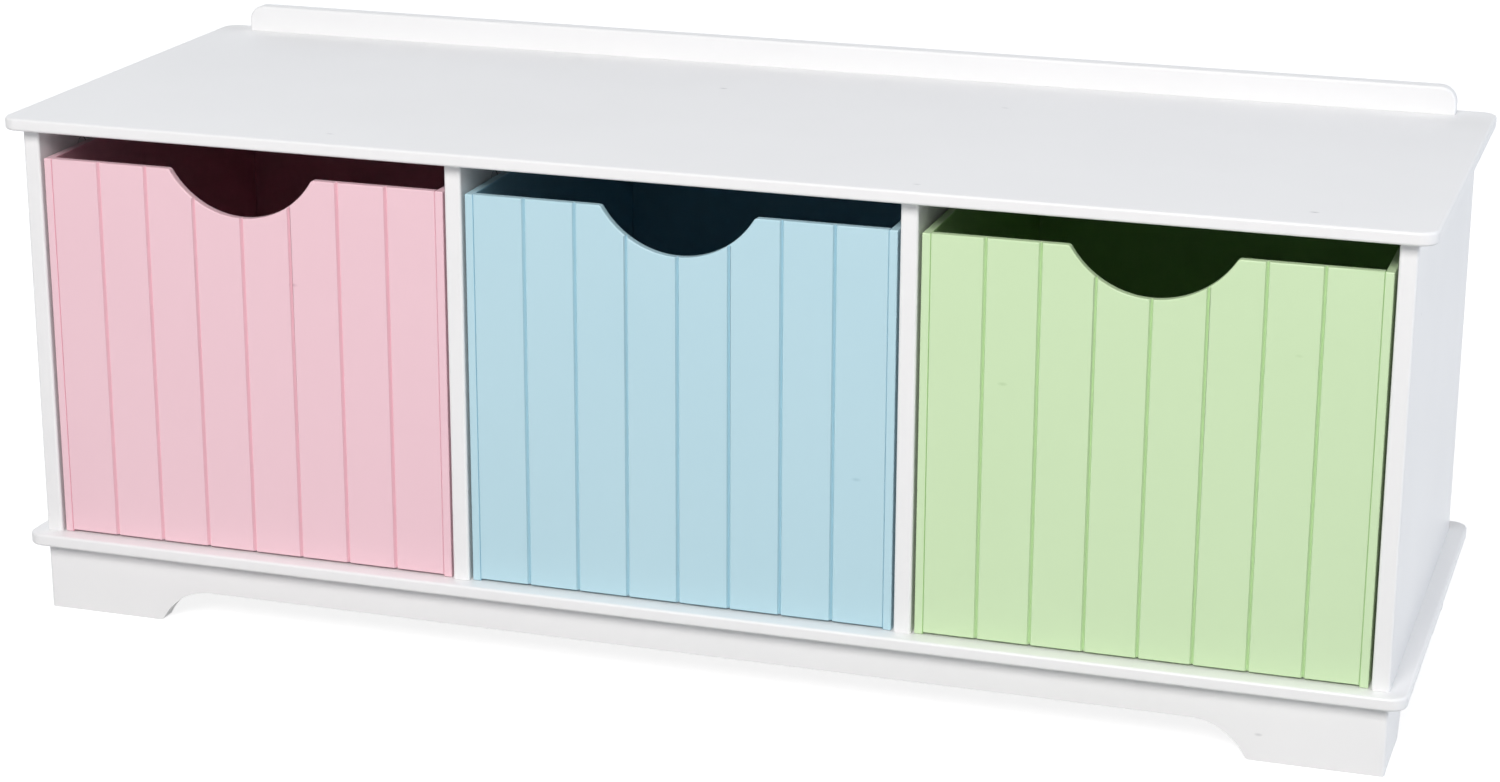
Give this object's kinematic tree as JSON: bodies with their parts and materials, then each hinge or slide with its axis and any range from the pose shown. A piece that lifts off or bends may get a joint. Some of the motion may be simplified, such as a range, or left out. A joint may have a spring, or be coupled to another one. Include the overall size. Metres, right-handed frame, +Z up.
{
  "type": "storage bench",
  "caption": "Low white storage bench with open bays on a scooped plinth, a low rear rail, and pastel grooved bins with half-round hand cut-outs that slide out to the front.",
  "frame": {"origin": "on the floor, under the middle of the bench's plan", "axes": "+X to the right seen from the front, +Y from the front to the back, +Z up"},
  "size_m": [0.99, 0.357, 0.386],
  "materials": {
    "white_paint": "fibreboard sprayed with satin white lacquer",
    "pink_paint": "fibreboard sprayed with satin pastel pink lacquer",
    "blue_paint": "fibreboard sprayed with satin pastel blue lacquer",
    "green_paint": "fibreboard sprayed with satin pastel green lacquer",
    "hardboard": "tempered hardboard, white on its inner face",
    "pine_block": "sawn pine, unfinished",
    "beech_dowel": "turned beech, unfinished",
    "zinc_plated_steel": "bright zinc plate",
    "die_cast_zinc": "die-cast zinc, as cast"
  },
  "bodies": {
    "carcass": {"top_panel": "white_paint", "back_rail": "white_paint", "base_panel": "white_paint", "left_side_panel": "white_paint", "right_side_panel": "white_paint", "left_divider": "white_paint", "right_divider": "white_paint", "front_skirt": "white_paint", "rear_skirt": "white_paint", "left_skirt": "white_paint", "right_skirt": "white_paint", "back_panel": "hardboard", "front_left_corner_block": "pine_block", "front_right_corner_block": "pine_block", "rear_left_corner_block": "pine_block", "rear_right_corner_block": "pine_block", "top_dowels": "beech_dowel", "plinth_dowels": "beech_dowel", "cam_bolts": "zinc_plated_steel", "base_screws": "zinc_plated_steel", "block_screws": "zinc_plated_steel", "rail_screws": "zinc_plated_steel", "back_panel_nails": "zinc_plated_steel", "cam_locks": "die_cast_zinc"},
    "left_bin": {"left_bin_front": "pink_paint", "left_bin_left_side": "pink_paint", "left_bin_right_side": "pink_paint", "left_bin_back": "pink_paint", "left_bin_bottom": "pink_paint", "left_bin_pins": "zinc_plated_steel"},
    "middle_bin": {"middle_bin_front": "blue_paint", "middle_bin_left_side": "blue_paint", "middle_bin_right_side": "blue_paint", "middle_bin_back": "blue_paint", "middle_bin_bottom": "blue_paint", "middle_bin_pins": "zinc_plated_steel"},
    "right_bin": {"right_bin_front": "green_paint", "right_bin_left_side": "green_paint", "right_bin_right_side": "green_paint", "right_bin_back": "green_paint", "right_bin_bottom": "green_paint", "right_bin_pins": "zinc_plated_steel"}
  },
  "joints": [
    {"name": "left_bin_slide", "type": "slide", "parent": "carcass", "child": "left_bin", "axis": [0, -1, 0], "range_m": [0, 0.32]},
    {"name": "middle_bin_slide", "type": "slide", "parent": "carcass", "child": "middle_bin", "axis": [0, -1, 0], "range_m": [0, 0.32]},
    {"name": "right_bin_slide", "type": "slide", "parent": "carcass", "child": "right_bin", "axis": [0, -1, 0], "range_m": [0, 0.32]}
  ]
}
